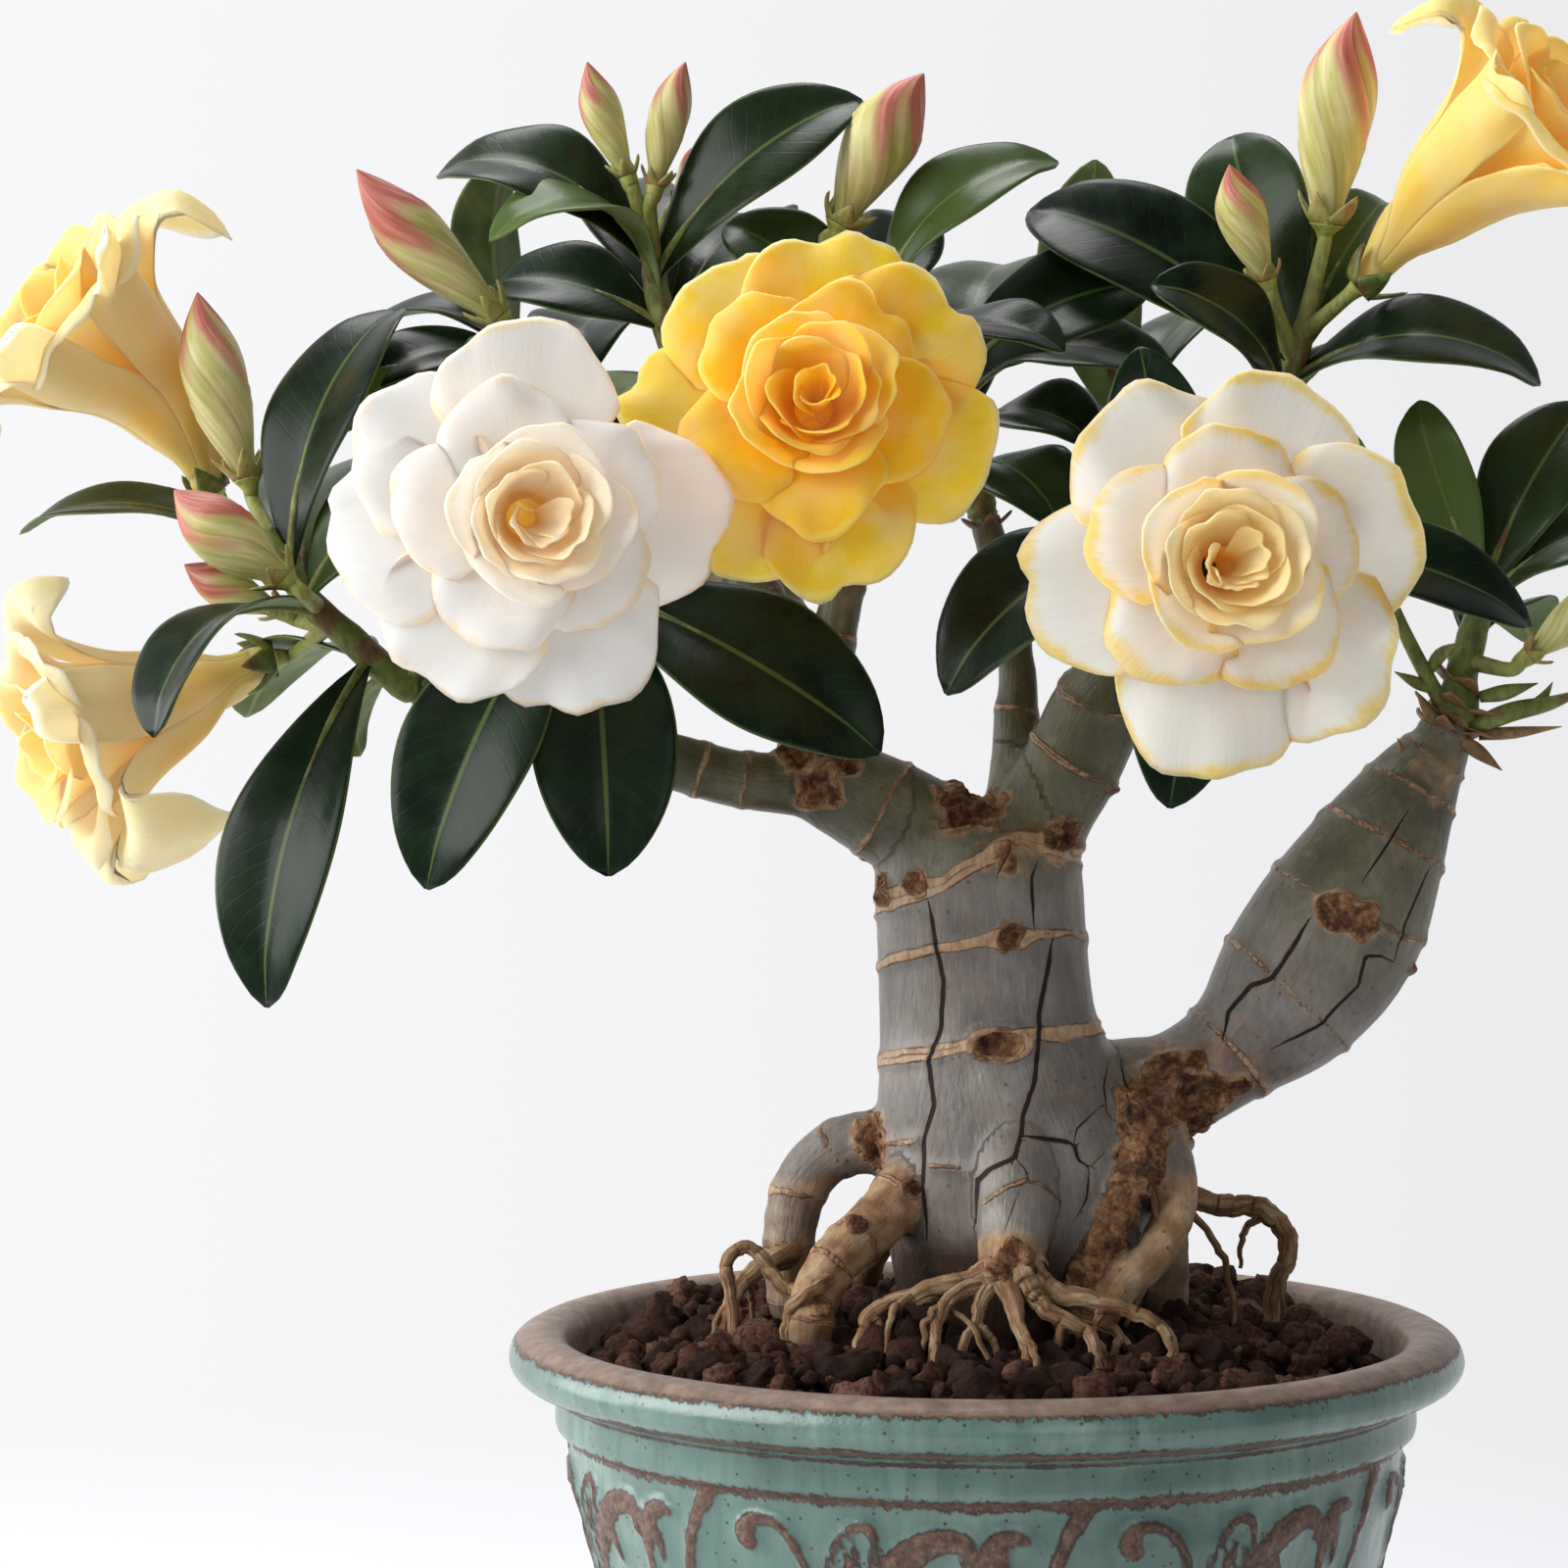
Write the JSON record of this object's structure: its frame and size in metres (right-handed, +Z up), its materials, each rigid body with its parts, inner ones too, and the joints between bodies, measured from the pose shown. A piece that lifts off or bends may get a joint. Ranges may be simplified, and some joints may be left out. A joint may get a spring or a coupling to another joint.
{
  "type": "potted desert rose",
  "caption": "Desert rose with a swollen trunk, knotted surface roots, tufts of glossy leaves, double blooms and spindle buds, in a round glazed clay pot filled with lava granules.",
  "frame": {"origin": "middle of the pot's flat base", "axes": "+Z up, -Y the side that the blooms face"},
  "size_m": [0.3407, 0.2082, 0.4033],
  "materials": {
    "glazed_clay": "worn celadon glaze",
    "lava_soil": "rough granules",
    "bark": "smooth grey bark with tan rings",
    "petal_white_pink": "soft petal",
    "petal_yellow": "soft petal",
    "petal_white_gold": "soft petal",
    "petal_soft_yellow": "soft petal",
    "petal_cream": "soft petal",
    "bud_green": "waxy bud",
    "leaf_green": "glossy leaf"
  },
  "bodies": {
    "root": {"pot": "glazed_clay", "soil": "lava_soil", "caudex": "bark", "bloom_white_pink": "petal_white_pink", "bloom_yellow": "petal_yellow", "bloom_white_gold": "petal_white_gold", "bloom_yellow_upper_left": "petal_soft_yellow", "bloom_cream_lower_left": "petal_cream", "bloom_yellow_upper_right": "petal_soft_yellow", "bud_left_front": "bud_green", "bud_left_low": "bud_green", "bud_left_tall": "bud_green", "bud_back_left": "bud_green", "bud_top_left": "bud_green", "bud_top_middle": "bud_green", "bud_top_small": "bud_green", "bud_middle": "bud_green", "bud_right_small": "bud_green", "bud_right_tall": "bud_green", "bud_far_right": "bud_green", "leafy_stem_left_end": "leaf_green", "leafy_stem_front_left": "leaf_green", "leafy_stem_top_left": "leaf_green", "leafy_stem_middle": "leaf_green", "leafy_stem_centre": "leaf_green", "leafy_stem_right": "leaf_green", "leafy_stem_front_right": "leaf_green", "leafy_stem_side_branch": "leaf_green", "leafy_stem_back_left": "leaf_green", "leafy_stem_back": "leaf_green", "leafy_stem_back_right": "leaf_green"}
  },
  "joints": []
}
